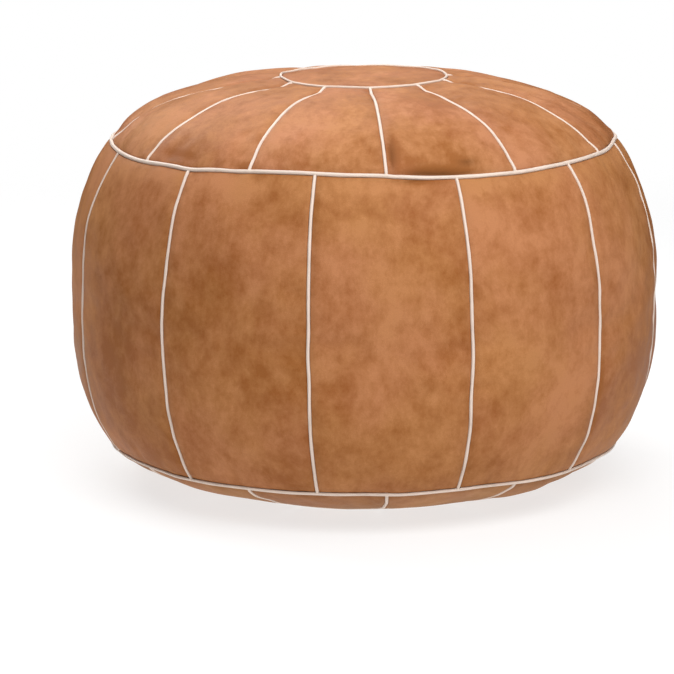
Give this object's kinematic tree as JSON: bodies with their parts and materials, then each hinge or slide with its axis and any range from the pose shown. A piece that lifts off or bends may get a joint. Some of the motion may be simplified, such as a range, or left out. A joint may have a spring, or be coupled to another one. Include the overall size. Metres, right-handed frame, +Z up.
{
  "type": "moroccan leather pouf",
  "caption": "Round stuffed floor pouf: tan leather gores on the crown, sides and base, joined by cream piping, with a round crown disc and a zip across the base.",
  "frame": {"origin": "on the floor, under the middle of the pouf", "axes": "+Z up; -Y is the front, where a side panel is centred; +X along the zip, towards its closed end"},
  "size_m": [0.635, 0.635, 0.445],
  "materials": {
    "side_leather": "satin",
    "top_leather": "satin",
    "base_leather": "matte",
    "piping": "satin",
    "zip_tape": "matte",
    "zip_teeth": "satin",
    "zip_metal": "satin",
    "stuffing": "matte"
  },
  "bodies": {
    "cover": {"top_disc": "top_leather", "top_gore_01": "top_leather", "top_gore_02": "top_leather", "top_gore_03": "top_leather", "top_gore_04": "top_leather", "top_gore_05": "top_leather", "top_gore_06": "top_leather", "top_gore_07": "top_leather", "top_gore_08": "top_leather", "top_gore_09": "top_leather", "top_gore_10": "top_leather", "top_gore_11": "top_leather", "top_gore_12": "top_leather", "side_panel_01": "side_leather", "side_panel_02": "side_leather", "side_panel_03": "side_leather", "side_panel_04": "side_leather", "side_panel_05": "side_leather", "side_panel_06": "side_leather", "side_panel_07": "side_leather", "side_panel_08": "side_leather", "side_panel_09": "side_leather", "side_panel_10": "side_leather", "side_panel_11": "side_leather", "side_panel_12": "side_leather", "bottom_gore_01": "base_leather", "bottom_gore_02": "base_leather", "bottom_gore_03": "base_leather", "bottom_gore_04": "base_leather", "bottom_gore_05": "base_leather", "bottom_gore_06": "base_leather", "bottom_gore_07": "base_leather", "bottom_gore_08": "base_leather", "bottom_gore_09": "base_leather", "bottom_gore_10": "base_leather", "bottom_gore_11": "base_leather", "bottom_gore_12": "base_leather", "base_half_front": "base_leather", "base_half_back": "base_leather", "crown_piping": "piping", "top_shoulder_piping": "piping", "side_piping": "piping", "base_piping": "piping", "zip_tape_front": "zip_tape", "zip_tape_back": "zip_tape", "zip_teeth_front": "zip_teeth", "zip_teeth_back": "zip_teeth", "zip_top_stop": "zip_metal", "zip_bottom_stop": "zip_metal", "stuffing": "stuffing"},
    "zip_slider": {"zip_slider": "zip_metal"},
    "zip_pull": {"zip_pull": "zip_metal"}
  },
  "joints": [
    {"name": "zip_slide", "type": "slide", "parent": "cover", "child": "zip_slider", "axis": [-1, 0, 0], "range_m": [0, 0.25]},
    {"name": "pull_swing", "type": "hinge", "parent": "zip_slider", "child": "zip_pull", "pos_m": [0.125, 0, 0.0021], "axis": [0, -1, 0], "range_deg": [0, 170]}
  ]
}
